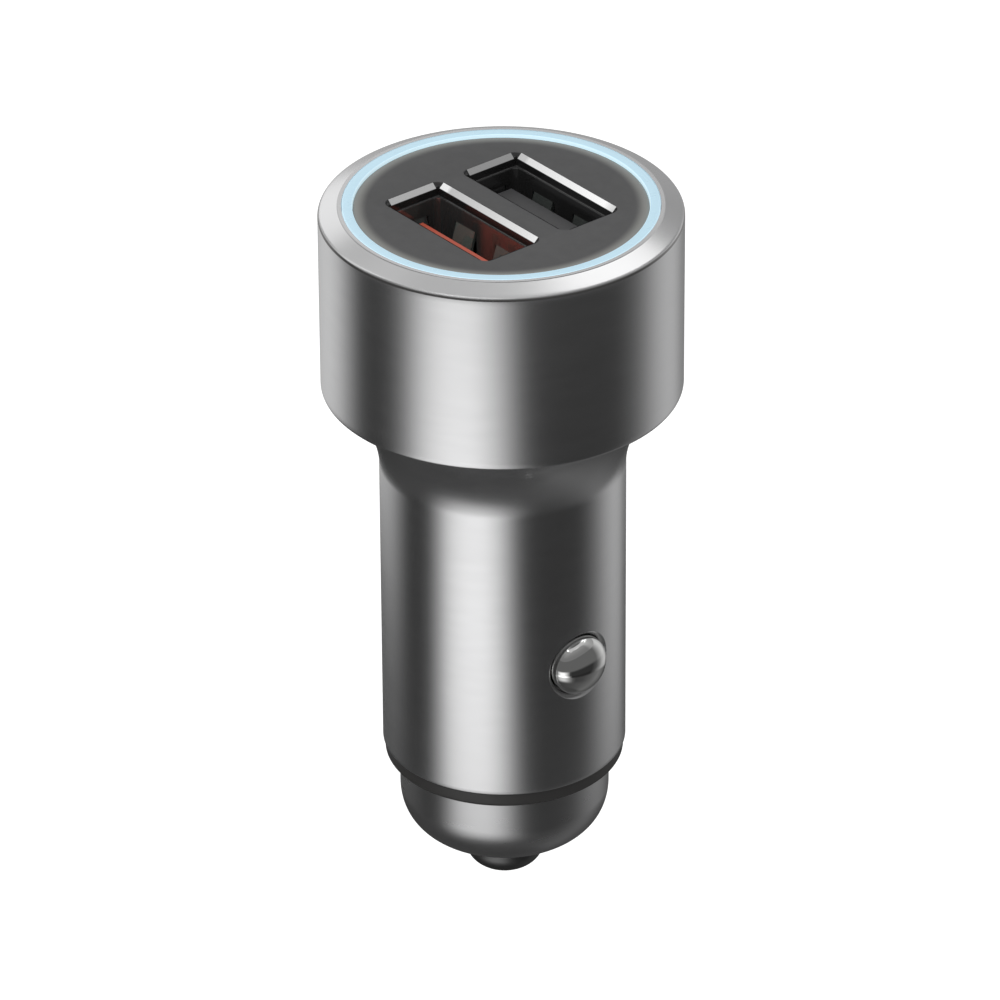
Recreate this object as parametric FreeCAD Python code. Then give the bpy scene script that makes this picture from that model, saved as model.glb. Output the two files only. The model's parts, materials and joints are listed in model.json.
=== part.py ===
import FreeCAD, Part
import os
from math import cos, pi, sin, sqrt

Vector = FreeCAD.Vector

# A dual car charger plug, in millimetres. Z runs up the axis towards the ports, and the origin is
# on the axis at the top of the straight barrel. The ports' long sides run along X.

# Straight barrel, which enters the vehicle's socket
barrel_radius = 10.27
barrel_length = 26.6
barrel_land_length = 11.5
barrel_taper = 0.03
barrel_bore_radius = 8.9

# Flare and head
flare_height = 7.4
flare_weight = 0.49
flare_spans = 5
head_radius = 15.0
head_height = 16.6
head_edge_break = 0.2
rim_lip_width = 0.35
rim_chamfer_drop = 0.7

# Light ring and face plate
light_ring_outer_radius = 13.0
light_ring_wall = 0.86
head_bore_clearance = 0.05
face_recess = 0.22
face_gap = 0.04
face_thickness = 1.6
face_edge_break = 0.35
face_skirt_depth = 3.2
face_skirt_wall = 0.8
face_post_x = 9.3
face_post_width = 2.0

# USB ports
port_pitch = 8.22
port_depth = 13.38
port_width = 12.3
port_height = 4.92
port_corner = 0.7
port_sheet = 0.3
port_mouth_step = 0.1
port_mouth_depth = 1.08
port_lip_run = 0.44
port_lip_drop = 0.4
port_lip_end = 0.2
long_lip_length = 12.24
short_lip_length = 4.66
cutout_margin = 0.04
cutout_corner = 0.85
port_base_height = 3.2
port_base_clearance = 0.1
port_leg_width = 1.6
port_leg_reach = 0.8

# Spring leaves stamped in the port shells
leaf_width = 2.4
leaf_length = 5.2
leaf_drop = 1.4
leaf_knee_drop = 1.6
leaf_lean = 0.5
leaf_slot = 0.22
leaf_spread = 2.6
leaf_window_depth = 0.8

# Tongue and contact strips
tongue_width = 11.1
tongue_thickness = 1.84
tongue_back_gap = 0.98
tongue_recess = 2.5
tongue_edge_break = 0.1
strip_width = 1.0
strip_thickness = 0.2
strip_setback = 0.7
strip_offsets = (-3.5, -1.0, 1.0, 3.5)
strip_tail_width = 0.5
strip_tail_reach = 0.9

# Port board and LEDs
board_thickness = 1.2
board_edge_clearance = 0.1
board_slot_clearance = 0.1
led_count = 6
led_size = 1.3
led_height = 0.8
led_ring_gap = 0.3

# Main board
main_board_thickness = 1.2
main_board_width = 15.0
main_board_reach = 20.5
main_board_edge_clearance = 0.1
main_board_shoulder_height = 5.6
tenon_width = 1.6
tenon_reach = 0.4

# Coil, capacitors and chips on the main board
inductor_height_z = 4.6
inductor_width = 6.8
inductor_corner = 1.2
inductor_flange = 0.9
inductor_core_radius = 1.6
inductor_length = 5.0
coil_winding_radius = 3.0
capacitor_radius = 3.0
capacitor_length = 5.4
capacitor_base = 0.7
capacitor_base_width = 6.4
input_capacitor_z = 4.6
output_capacitor_z = -5.0
chip_length = 4.9
chip_width = 3.9
chip_height = 1.5
chip_z = -3.2
controller_size = 3.0
controller_height = 0.9
controller_z = -8.2
small_part_length = 1.6
small_part_width = 0.8
small_part_height = 0.6
small_part_pitch = 2.2
small_part_count = 5
small_part_y = 5.4

# Carrier that holds the boards and the side springs inside the barrel
carrier_clearance = 0.08
carrier_wall = 0.8
carrier_top = 0.8
carrier_socket_wall = 0.6
carrier_socket_floor = 0.8
board_groove_depth = 0.45
board_groove_wall = 0.8
groove_clearance = 0.05

# Sprung side contacts
contact_drop = 15.3
contact_radius = 2.6
contact_hole_clearance = 0.1
contact_protrusion = 1.3
contact_dome_height = 1.45
contact_dome_spans = 3
contact_flange_width = 0.5
contact_flange_thickness = 0.6
contact_flange_gap = 0.05
contact_socket_clearance = 0.1
contact_travel = 1.2
side_spring_closed_length = 2.8
side_spring_wire = 0.35
side_spring_turns = 3.0
side_spring_radius = 2.9
spring_turn_steps = 12
spring_wire_sides = 5
terminal_thickness = 0.3
terminal_pin_width = 0.64

# Insulating ring
ring_height = 1.3
ring_radius = 10.08
ring_spigot_depth = 2.6
ring_spigot_clearance = 0.05
ring_bore_radius = 6.0
ring_web_inset = 0.7
ring_tail_length = 2.9
ring_tail_radius = 7.6

# Nose cap
nose_radius = 8.86
nose_side_length = 3.3
nose_shoulder_height = 4.6
nose_shoulder_weight = 0.887
nose_shoulder_spans = 5
nose_gap = 0.04
nose_thread_clearance = 0.05
nose_chamber_radius = 4.7
nose_floor = 1.9

# Sprung centre tip
tip_radius = 3.3
tip_clearance = 0.07
tip_side_reach = 1.9
tip_end_height = 2.1
tip_end_spans = 3
tip_flange_radius = 4.55
tip_flange_thickness = 0.8
tip_spring_wire = 0.5
tip_spring_turns = 4.0
tip_spring_radius = 4.0
tip_terminal_thickness = 0.4
tip_tab_width = 3.0
tip_tab_overlap = 2.4

# Heights and radii that follow from the sizes above
top_z = flare_height + head_height
face_z = top_z - face_recess
lip_root_z = face_z - port_lip_drop
port_step_z = face_z - port_mouth_depth
board_top_z = face_z - port_depth
ledge_z = board_top_z - board_thickness
head_bore_radius = light_ring_outer_radius + head_bore_clearance
light_ring_inner_radius = light_ring_outer_radius - light_ring_wall
face_radius = light_ring_inner_radius - face_gap
port_sides = (-1, 1)
shell_width = port_width + 2 * port_sheet
shell_height = port_height + 2 * port_sheet
mouth_width = port_width + 2 * port_mouth_step
mouth_height = port_height + 2 * port_mouth_step
lip_tip_width = mouth_width + 2 * port_lip_run
lip_tip_height = mouth_height + 2 * port_lip_run
lip_end_z = face_z - port_lip_end
leg_x = (port_width + port_sheet) / 2
tongue_front_z = face_z - tongue_recess
base_top_z = board_top_z + port_base_height
barrel_end_z = -barrel_length
ring_end_z = barrel_end_z - ring_height
nose_top_z = ring_end_z - nose_gap
nose_shoulder_z = nose_top_z - nose_side_length
nose_end_z = nose_shoulder_z - nose_shoulder_height
nose_floor_z = nose_end_z + nose_floor
nose_bore_radius = tip_radius + tip_clearance
web_low_z = barrel_end_z + ring_web_inset
terminal_low_z = web_low_z - tip_terminal_thickness
tip_flange_top_z = nose_floor_z + tip_flange_thickness
contact_z = -contact_drop
contact_hole_radius = contact_radius + contact_hole_clearance
contact_flange_radius = contact_hole_radius + contact_flange_width
contact_socket_radius = contact_flange_radius + contact_socket_clearance
contact_flange_x = sqrt(barrel_bore_radius ** 2 - contact_flange_radius ** 2) - contact_flange_gap
contact_flange_back_x = contact_flange_x - contact_flange_thickness
ring_spigot_radius = barrel_bore_radius - ring_spigot_clearance
side_spring_length = contact_travel + side_spring_closed_length
spring_seat_x = contact_flange_back_x - side_spring_length
socket_floor_x = spring_seat_x - terminal_thickness
carrier_radius = barrel_bore_radius - carrier_clearance
carrier_inner_radius = carrier_radius - carrier_wall
carrier_low_z = barrel_end_z + ring_spigot_depth
main_board_face_x = main_board_thickness / 2
main_board_shoulder_width = 2 * (barrel_bore_radius - main_board_edge_clearance)
UP = Vector(0, 0, 1)
ROUND = sqrt(0.5)


def at(radius, z):
    return Vector(radius, 0, z)


def outline(*points):
    return Part.Face(Part.makePolygon([*points, points[0]]))


def turned(*points):
    return outline(*points).revolve(Vector(), UP, 360)


def conic(start, corner, end, weight, spans):
    """Points of a conic in short spans, which turn into plain cones; ROUND gives a quarter ellipse."""
    points = []
    for step in range(spans + 1):
        along = step / spans
        shares = ((1 - along) ** 2, 2 * along * (1 - along) * weight, along ** 2)
        point = start * shares[0] + corner * shares[1] + end * shares[2]
        points.append(point * (1 / sum(shares)))
    return points


def tube(outer, inner, low, high):
    return turned(at(inner, low), at(outer, low), at(outer, high), at(inner, high))


def disc(radius, low, high, x=0.0, y=0.0):
    return Part.makeCylinder(radius, high - low, Vector(x, y, low), UP)


def block(width, depth, low, high, x=0.0, y=0.0, corner=0.0):
    """A box centred on x and y, with its four upright edges rounded."""
    shape = Part.makeBox(width, depth, high - low, Vector(x - width / 2, y - depth / 2, low))
    if corner:
        upright = [edge for edge in shape.Edges if abs(edge.Vertexes[0].Z - edge.Vertexes[-1].Z) > 1e-6]
        shape = shape.makeFillet(corner, upright)
    return shape


def rod_x(radius, start, end, z=0.0, y=0.0):
    return Part.makeCylinder(radius, end - start, Vector(start, y, z), Vector(1, 0, 0))


def turned_x(z, *points):
    """Turns an outline about the X direction, at height z; its points are (distance out, x)."""
    shape = turned(*points)
    shape.rotate(Vector(), Vector(0, 1, 0), 90)
    shape.translate(Vector(0, 0, z))
    return shape


def mirrored(shape):
    return shape.mirror(Vector(), Vector(1, 0, 0))


def funnel(low_size, high_size, low, high, y):
    """A solid whose rectangle changes size from low to high; a wedge grows along Y, so it is turned."""
    x_low, y_low = low_size[0] / 2, low_size[1] / 2
    x_high, y_high = high_size[0] / 2, high_size[1] / 2
    wedge = Part.makeWedge(-x_low, low, -y_low, -y_high, -x_high, x_low, high, y_low, y_high, x_high)
    wedge.rotate(Vector(), Vector(1, 0, 0), 90)
    wedge.translate(Vector(0, y, 0))
    return wedge


def coil_spring(radius, wire, length, turns):
    """A wire wound about Z in short spans, from its lower seat at z = 0 to its upper seat at length."""
    rise = length - wire
    steps = round(turns * spring_turn_steps)
    sections = []
    for step in range(steps + 1):
        angle = 2 * pi * turns * step / steps
        corners = []
        for side in range(spring_wire_sides + 1):
            turn = 2 * pi * side / spring_wire_sides
            out = radius + wire / 2 * cos(turn)
            height = wire / 2 + rise * step / steps + wire / 2 * sin(turn)
            corners.append(Vector(out * cos(angle), out * sin(angle), height))
        sections.append(Part.makePolygon(corners))
    return Part.makeLoft(sections, True, True)


def metal_housing():
    """One turned body: head, flare and barrel, with a ledge for the port board inside."""
    neck_radius = head_radius - head_edge_break
    flare = conic(at(barrel_radius, 0), at(barrel_radius, flare_height),
                  at(neck_radius, flare_height), flare_weight, flare_spans)
    body = turned(
        at(barrel_bore_radius, barrel_end_z),
        at(barrel_radius - barrel_taper, barrel_end_z),
        at(barrel_radius, -barrel_land_length),
        *flare,
        at(head_radius, flare_height + head_edge_break),
        at(head_radius, top_z - rim_chamfer_drop),
        at(head_bore_radius + rim_lip_width, top_z),
        at(head_bore_radius, top_z),
        at(head_bore_radius, ledge_z),
        at(barrel_bore_radius, ledge_z))
    return body.cut(rod_x(contact_hole_radius, -head_radius, head_radius, contact_z))


def light_ring():
    """A light guide that stands on the port board, lit from inside its foot by the LEDs."""
    return tube(light_ring_outer_radius, light_ring_inner_radius, board_top_z, top_z)


def face_plate():
    """A moulded cap with two port cut-outs, standing on the port board on two posts."""
    under_z = face_z - face_thickness
    skirt_inner = face_radius - face_skirt_wall
    skirt_z = face_z - face_skirt_depth
    plate = turned(
        at(0, under_z),
        at(skirt_inner, under_z),
        at(skirt_inner, skirt_z),
        at(face_radius, skirt_z),
        at(face_radius, face_z - face_edge_break),
        at(face_radius - face_edge_break, face_z),
        at(0, face_z))
    posts = [block(face_post_width, face_post_width, board_top_z, under_z, x)
             for x in (-face_post_x, face_post_x)]
    return plate.fuse(posts).cut([port_cutout(under_z, side) for side in port_sides]).removeSplitter()


def port_cutout(under_z, side):
    """A window with rounded corners, whose sloped walls lie behind the port's lips."""
    y = port_y(side)
    slack = 2 * cutout_margin
    root_size = (shell_width + slack, shell_height + slack)
    tip_size = (lip_tip_width + slack, lip_tip_height + slack)
    slope = funnel(root_size, tip_size, lip_root_z, lip_end_z, y)
    slope = slope.common(block(*tip_size, lip_root_z, lip_end_z, 0, y, cutout_corner))
    through = block(*root_size, under_z, lip_root_z, 0, y)
    edge = block(*tip_size, lip_end_z, face_z, 0, y, cutout_corner)
    return through.fuse([slope, edge])


def port_y(side):
    return side * port_pitch / 2


def flared_mouth(y):
    """Four flared lips round a port's mouth, each cut off square short of the corners."""
    outer = funnel((shell_width, shell_height), (lip_tip_width, lip_tip_height), lip_root_z, lip_end_z, y)
    outer = outer.fuse(block(lip_tip_width, lip_tip_height, lip_end_z, face_z, 0, y))
    inner = funnel((mouth_width, mouth_height), (lip_tip_width, lip_tip_height), lip_root_z, face_z, y)
    long_lips = block(long_lip_length, lip_tip_height, lip_root_z, face_z, 0, y)
    short_lips = block(lip_tip_width, short_lip_length, lip_root_z, face_z, 0, y)
    return outer.cut(inner).common(long_lips.fuse(short_lips))


def spring_leaf():
    """A stamped leaf, rooted at its top at x = y = 0, with its free end leaning towards -Y."""
    leaf = outline(
        at(0, 0),
        at(port_sheet, 0),
        at(port_sheet - leaf_lean, -leaf_knee_drop),
        at(port_sheet, -leaf_length),
        at(0, -leaf_length),
        at(-leaf_lean, -leaf_knee_drop))
    leaf = leaf.extrude(Vector(0, leaf_width, 0))
    leaf.rotate(Vector(), UP, 90)
    leaf.translate(Vector(leaf_width / 2, 0, 0))
    return leaf


def port_shell(side):
    """A folded steel shell: a box stepped wider at its flared mouth, spring leaves and board legs."""
    y = port_y(side)
    shell = block(shell_width, shell_height, board_top_z, lip_root_z, 0, y)
    shell = shell.cut(block(port_width, port_height, board_top_z, port_step_z, 0, y, port_corner))
    shell = shell.cut(block(mouth_width, mouth_height, port_step_z, lip_root_z, 0, y))
    root_z = port_step_z - leaf_drop
    walls = [(x, port_height / 2, 0) for x in (-leaf_spread, leaf_spread)]
    walls += [(x, port_height / 2, 180) for x in (-leaf_spread, leaf_spread)]
    walls += [(0, port_width / 2, angle) for angle in (90, 270)]
    for offset, out, angle in walls:
        window = block(leaf_width + 2 * leaf_slot, leaf_window_depth,
                       root_z - leaf_length - leaf_slot, root_z, offset, out, 0)
        leaf = spring_leaf()
        leaf.translate(Vector(offset, out, root_z))
        for shape in (window, leaf):
            shape.rotate(Vector(), UP, angle)
            shape.translate(Vector(0, y, 0))
        shell = shell.cut(window).fuse(leaf)
    legs = [block(port_sheet, port_leg_width, ledge_z - port_leg_reach, board_top_z, x, y)
            for x in (-leg_x, leg_x)]
    return shell.fuse(legs + [flared_mouth(y)]).removeSplitter()


def tongue_y(side, depth):
    """A place in the tongue, by its depth from the back, which is at the port's outer wall."""
    return side * (port_pitch / 2 + port_height / 2 - tongue_back_gap - depth)


def port_strips(side, extra=0.0):
    """Four contact strips on the tongue, each with a tail through the port board."""
    strips = []
    side_y = tongue_y(side, tongue_thickness + strip_thickness / 2)
    for x in strip_offsets:
        strip = block(strip_width + extra, strip_thickness + extra, board_top_z,
                      tongue_front_z - strip_setback, x, side_y)
        tail = block(strip_tail_width + extra, strip_thickness + extra,
                     ledge_z - strip_tail_reach, board_top_z, x, side_y)
        strips.append(strip.fuse(tail))
    return strips


def port_tongue(side):
    """A moulded base that fills the shell's foot, with the tongue standing on it."""
    wide = port_width - 2 * port_base_clearance
    deep = port_height - 2 * port_base_clearance
    base = block(wide, deep, board_top_z, base_top_z, 0, port_y(side), port_corner)
    tongue = block(tongue_width, tongue_thickness, base_top_z, tongue_front_z,
                   0, tongue_y(side, tongue_thickness / 2))
    front = [edge for edge in tongue.Edges
             if all(abs(vertex.Z - tongue_front_z) < 1e-6 for vertex in edge.Vertexes)]
    tongue = tongue.makeChamfer(tongue_edge_break, front)
    return base.fuse(tongue).removeSplitter().cut(port_strips(side))


def main_board():
    """An upright board in the YZ plane, tenoned into the port board."""
    half = main_board_width / 2
    shoulder = main_board_shoulder_width / 2
    inner = shoulder - tenon_width
    low = -main_board_reach
    step_z = ledge_z - main_board_shoulder_height
    tenon_z = board_top_z + tenon_reach
    side = [(half, low), (half, step_z), (shoulder, step_z),
            (shoulder, tenon_z), (inner, tenon_z), (inner, ledge_z)]
    points = [Vector(-main_board_face_x, y, z) for y, z in side]
    points += [Vector(-main_board_face_x, -y, z) for y, z in reversed(side)]
    face = Part.Face(Part.makePolygon(points + points[:1]))
    return face.extrude(Vector(main_board_thickness, 0, 0))


def port_board():
    """The round board under the ports, slotted for legs, tails and the main board's tenons."""
    board = disc(head_bore_radius - board_edge_clearance, ledge_z, board_top_z)
    slack = 2 * board_slot_clearance
    slots = []
    for side in port_sides:
        for x in (-leg_x, leg_x):
            slots.append(block(port_sheet + slack, port_leg_width + slack, ledge_z, board_top_z,
                               x, port_y(side)))
        slots += port_strips(side, slack)
    tenon_y = (main_board_shoulder_width - tenon_width) / 2
    for y in (-tenon_y, tenon_y):
        slots.append(block(main_board_thickness + slack, tenon_width + slack, ledge_z, board_top_z, 0, y))
    return board.cut(slots)


def ring_leds():
    leds = []
    radius = light_ring_inner_radius - led_ring_gap - led_size / 2
    for index in range(led_count):
        led = block(led_size, led_size, board_top_z, board_top_z + led_height, radius)
        led.rotate(Vector(), UP, 360 / led_count * (index + 0.5))
        leds.append(led)
    return Part.makeCompound(leds)


def inductor_core():
    """A ferrite core with square flanges, standing on the main board with its axis along X."""
    core = rod_x(inductor_core_radius, 0, inductor_length)
    flange = block(inductor_width, inductor_width, 0, inductor_flange, corner=inductor_corner)
    flange.rotate(Vector(), Vector(0, 1, 0), 90)
    far_flange = flange.translated(Vector(inductor_length - inductor_flange, 0, 0))
    core = core.fuse([flange, far_flange]).removeSplitter()
    return core.translated(Vector(main_board_face_x, 0, inductor_height_z))


def inductor_coil():
    low = main_board_face_x + inductor_flange
    high = main_board_face_x + inductor_length - inductor_flange
    return turned_x(
        inductor_height_z,
        at(inductor_core_radius, low),
        at(coil_winding_radius, low),
        at(coil_winding_radius, high),
        at(inductor_core_radius, high))


def capacitor(z):
    """A can on a square base, standing on the main board's -X face."""
    base = Part.makeBox(capacitor_base, capacitor_base_width, capacitor_base_width,
                        Vector(main_board_face_x, -capacitor_base_width / 2, z - capacitor_base_width / 2))
    can = rod_x(capacitor_radius, main_board_face_x + capacitor_base,
                main_board_face_x + capacitor_length, z)
    return mirrored(base.fuse(can))


def board_chip(length, width, height, y, z, side):
    low_x = main_board_face_x if side > 0 else -main_board_face_x - height
    return Part.makeBox(height, width, length, Vector(low_x, y - width / 2, z - length / 2))


def driver_chips():
    converter = board_chip(chip_length, chip_width, chip_height, 0, chip_z, 1)
    controller = board_chip(controller_size, controller_size, controller_height, 0, controller_z, 1)
    return Part.makeCompound([converter, controller])


def small_parts():
    parts = []
    for index in range(small_part_count):
        z = chip_z - index * small_part_pitch + small_part_pitch
        for side in (-1, 1):
            parts.append(board_chip(small_part_length, small_part_width, small_part_height,
                                    side * small_part_y, z, side))
    return Part.makeCompound(parts)


def terminal_pin(start_x, clearance=0.0):
    """A square pin along X at the contacts' height, or the hole for it."""
    width = terminal_pin_width + 2 * clearance
    return Part.makeBox(socket_floor_x - start_x, width, width,
                        Vector(start_x, -width / 2, contact_z - width / 2))


def contact_socket(side):
    """The outside of one spring socket, a short tube along X that ends inside the carrier."""
    socket = rod_x(contact_socket_radius + carrier_socket_wall, socket_floor_x - carrier_socket_floor,
                   carrier_radius, contact_z)
    return socket if side > 0 else mirrored(socket)


def inner_carrier():
    """A moulded tube with grooves for the main board and two spring sockets."""
    shell = tube(carrier_radius, carrier_inner_radius, carrier_low_z, carrier_top)
    round_bar = disc(carrier_radius, carrier_low_z, carrier_top)
    sockets = [contact_socket(side).common(round_bar) for side in (-1, 1)]
    rail_x = main_board_face_x + groove_clearance + board_groove_wall
    rail_y = main_board_width / 2 - board_groove_depth
    rails = []
    for side in (-1, 1):
        rail = Part.makeBox(2 * rail_x, carrier_radius - rail_y, carrier_top - carrier_low_z,
                            Vector(-rail_x, rail_y if side > 0 else -carrier_radius, carrier_low_z))
        rails.append(rail.common(round_bar))
    body = shell.fuse(sockets + rails)
    slot = block(main_board_thickness + 2 * groove_clearance, main_board_width + 2 * groove_clearance,
                 -main_board_reach - groove_clearance, carrier_top)
    pocket = rod_x(contact_socket_radius, socket_floor_x, head_radius, contact_z)
    pin_hole = terminal_pin(-socket_floor_x, groove_clearance)
    return body.cut([slot, pocket, mirrored(pocket), pin_hole]).removeSplitter()


def side_contact():
    """A domed plunger with a retaining flange, pointing along +X."""
    dome_base_x = barrel_radius + contact_protrusion - contact_dome_height
    dome_end_x = barrel_radius + contact_protrusion
    return turned_x(
        contact_z,
        at(0, contact_flange_back_x),
        at(contact_flange_radius, contact_flange_back_x),
        at(contact_flange_radius, contact_flange_x),
        at(contact_radius, contact_flange_x),
        *conic(at(contact_radius, dome_base_x), at(contact_radius, dome_end_x),
               at(0, dome_end_x), ROUND, contact_dome_spans))


def side_spring():
    spring = coil_spring(side_spring_radius, side_spring_wire, side_spring_length, side_spring_turns)
    spring.rotate(Vector(), Vector(0, 1, 0), 90)
    spring.translate(Vector(spring_seat_x, 0, contact_z))
    return spring


def side_terminal():
    """A washer under the spring, with a pin that reaches the main board."""
    washer = rod_x(contact_flange_radius, socket_floor_x, spring_seat_x, contact_z)
    return washer.fuse(terminal_pin(main_board_face_x))


def tip_tab(extra=0.0):
    """The tab that joins the tip's terminal to the main board's +X face."""
    low_x = main_board_face_x
    high_z = -main_board_reach + tip_tab_overlap
    return Part.makeBox(tip_terminal_thickness + extra, tip_tab_width + 2 * extra, high_z - web_low_z,
                        Vector(low_x, -tip_tab_width / 2 - extra, web_low_z))


def insulating_ring():
    """A black bush: the ring that shows, a spigot in the barrel and a tail in the nose cap."""
    body = turned(
        at(ring_bore_radius, ring_end_z - ring_tail_length),
        at(ring_tail_radius, ring_end_z - ring_tail_length),
        at(ring_tail_radius, ring_end_z),
        at(ring_radius, ring_end_z),
        at(ring_radius, barrel_end_z),
        at(ring_spigot_radius, barrel_end_z),
        at(ring_spigot_radius, carrier_low_z),
        at(0, carrier_low_z),
        at(0, web_low_z),
        at(ring_bore_radius, web_low_z))
    return body.cut(tip_tab(board_slot_clearance))


def nose_cap():
    """A turned cap with a full round shoulder, bored for the tip."""
    thread_radius = ring_tail_radius + nose_thread_clearance
    tail_z = ring_end_z - ring_tail_length - nose_gap
    return turned(
        *conic(at(nose_bore_radius, nose_end_z), at(nose_radius, nose_end_z),
               at(nose_radius, nose_shoulder_z), nose_shoulder_weight, nose_shoulder_spans),
        at(nose_radius, nose_top_z),
        at(thread_radius, nose_top_z),
        at(thread_radius, tail_z),
        at(nose_chamber_radius, tail_z),
        at(nose_chamber_radius, nose_floor_z),
        at(nose_bore_radius, nose_floor_z))


def tip_pin():
    """The centre contact: a round-ended pin, with a flange that the nose cap holds."""
    side_z = nose_end_z - tip_side_reach
    return turned(
        *conic(at(0, side_z - tip_end_height), at(tip_radius, side_z - tip_end_height),
               at(tip_radius, side_z), ROUND, tip_end_spans),
        at(tip_radius, nose_floor_z),
        at(tip_flange_radius, nose_floor_z),
        at(tip_flange_radius, tip_flange_top_z),
        at(0, tip_flange_top_z))


def tip_spring():
    length = terminal_low_z - tip_flange_top_z
    spring = coil_spring(tip_spring_radius, tip_spring_wire, length, tip_spring_turns)
    spring.translate(Vector(0, 0, tip_flange_top_z))
    return spring


def tip_terminal():
    plate = disc(ring_bore_radius - board_slot_clearance, terminal_low_z, web_low_z)
    return plate.fuse(tip_tab()).removeSplitter()


def all_parts():
    parts = {
        "metal_housing": metal_housing(),
        "face_plate": face_plate(),
        "light_ring": light_ring(),
        "port_board": port_board(),
        "ring_leds": ring_leds(),
        "main_board": main_board(),
        "inductor_core": inductor_core(),
        "inductor_coil": inductor_coil(),
        "input_capacitor": capacitor(input_capacitor_z),
        "output_capacitor": capacitor(output_capacitor_z),
        "driver_chips": driver_chips(),
        "small_parts": small_parts(),
        "inner_carrier": inner_carrier(),
        "insulating_ring": insulating_ring(),
        "nose_cap": nose_cap(),
        "tip_pin": tip_pin(),
        "tip_spring": tip_spring(),
        "tip_terminal": tip_terminal(),
        "right_side_contact": side_contact(),
        "left_side_contact": mirrored(side_contact()),
        "right_side_spring": side_spring(),
        "left_side_spring": mirrored(side_spring()),
        "right_side_terminal": side_terminal(),
        "left_side_terminal": mirrored(side_terminal()),
    }
    for name, side in zip(("orange_port", "grey_port"), port_sides):
        parts[name + "_shell"] = port_shell(side)
        parts[name + "_tongue"] = port_tongue(side)
        parts[name + "_contacts"] = Part.makeCompound(port_strips(side))
    return parts


def main():
    os.makedirs("parts", exist_ok=True)
    for name, shape in all_parts().items():
        shape.exportStep("parts/" + name + ".step")
        print(name, len(shape.Solids), round(shape.Volume, 1), shape.isValid())


main()
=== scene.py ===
import bmesh
import bpy
import json
from math import atan2, asin, cos, pi, radians, sin, sqrt
from mathutils import Matrix, Vector


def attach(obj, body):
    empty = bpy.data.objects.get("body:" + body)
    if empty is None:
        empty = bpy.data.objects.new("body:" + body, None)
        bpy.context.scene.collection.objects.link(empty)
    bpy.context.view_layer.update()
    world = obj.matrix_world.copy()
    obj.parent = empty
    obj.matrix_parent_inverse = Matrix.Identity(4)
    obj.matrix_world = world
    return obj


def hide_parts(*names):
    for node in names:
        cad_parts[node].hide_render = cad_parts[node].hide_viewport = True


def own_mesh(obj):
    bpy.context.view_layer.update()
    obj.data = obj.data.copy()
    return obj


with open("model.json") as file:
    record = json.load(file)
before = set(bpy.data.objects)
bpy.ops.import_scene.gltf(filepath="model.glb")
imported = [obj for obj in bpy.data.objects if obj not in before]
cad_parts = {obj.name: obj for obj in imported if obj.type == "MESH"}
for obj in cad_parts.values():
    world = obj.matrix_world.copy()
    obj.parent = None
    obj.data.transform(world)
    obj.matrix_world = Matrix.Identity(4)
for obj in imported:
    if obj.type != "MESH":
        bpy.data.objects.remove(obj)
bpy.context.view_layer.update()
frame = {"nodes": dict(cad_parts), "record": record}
nodes = frame["nodes"]

# Lengths are in millimetres, in the CAD frame; MM turns them into Blender's metres.
MM = 0.001

# Camera, as fitted to the photograph
VIEW_AZIMUTH = radians(51.17)
VIEW_ELEVATION = radians(30.27)
VIEW_ROLL = radians(0.35)
VIEW_DISTANCE = 643.5
VIEW_TARGET_Z = -3.98
VIEW_TARGET_LEFT = 0.242
VIEW_LENS = 278.2
VIEW_SENSOR = 36.0
VIEW_NEAR = 0.01

# Heights of the turned pieces
TOP_Z = 24.0
FACE_Z = 23.78
FACE_UNDER_Z = FACE_Z - 1.6
FACE_SKIRT_Z = FACE_Z - 3.2
RIM_Z = 23.3
FLARE_Z = 7.4
BOARD_Z = 10.4
LEDGE_Z = 9.2
BARREL_END_Z = -26.6
SPIGOT_Z = -24.0
RING_WEB_Z = -25.9
RING_END_Z = -27.9
RING_TAIL_Z = RING_END_Z - 2.9
NOSE_TOP_Z = -27.94
NOSE_SEAT_Z = RING_END_Z - 2.94
NOSE_SHOULDER_Z = -31.24
NOSE_END_Z = -35.84
NOSE_FLOOR_Z = -33.94
TIP_FLANGE_Z = -33.14
TIP_SIDE_Z = -37.74
TIP_END_Z = -39.84
CONTACT_Z = -15.3

# Radii of the turned pieces
BARREL_R = 10.27
BARREL_BORE_R = 8.9
HEAD_R = 15.0
HEAD_BORE_R = 13.05
LIP_R = 13.4
LIGHT_RING_R = 13.0
LIGHT_RING_BORE_R = 12.14
FACE_R = 12.1
FACE_SKIRT_R = 11.3
RING_R = 10.08
RING_SPIGOT_R = 8.85
RING_TAIL_R = 7.6
RING_TAIL_BORE_R = 6.0
THREAD_R = RING_TAIL_R + 0.05
NOSE_R = 8.86
NOSE_CHAMBER_R = 4.7
NOSE_BORE_R = 3.37
TIP_R = 3.3
TIP_FLANGE_R = 4.55

# Curves and rounds on the turned pieces
FLARE_WEIGHT = 0.49
NOSE_WEIGHT = 0.887
DOME_WEIGHT = 0.85
DOME_CORNER = 0.3
HEAD_ROUND = 0.3
RIM_ROUND = 0.27
CHAMFER_CREST = (0.48, 0.195)
BARREL_ROUND = 0.12
LIP_BEVEL = (0.03, 0.05)
RING_ROUND = 0.35
NOSE_ROUND = 0.12
LIGHT_RING_ROUND = 0.06
FACE_RIM = 0.5
FACE_RIM_DROP = 0.09

# Distances from an edge at which a wall has a ring of points, so that its shading stays flat
HEAD_SUPPORT = 0.7
BARREL_SUPPORT = 0.4
PATCH_SUPPORT = 3
NOSE_SUPPORT = 0.4

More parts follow.
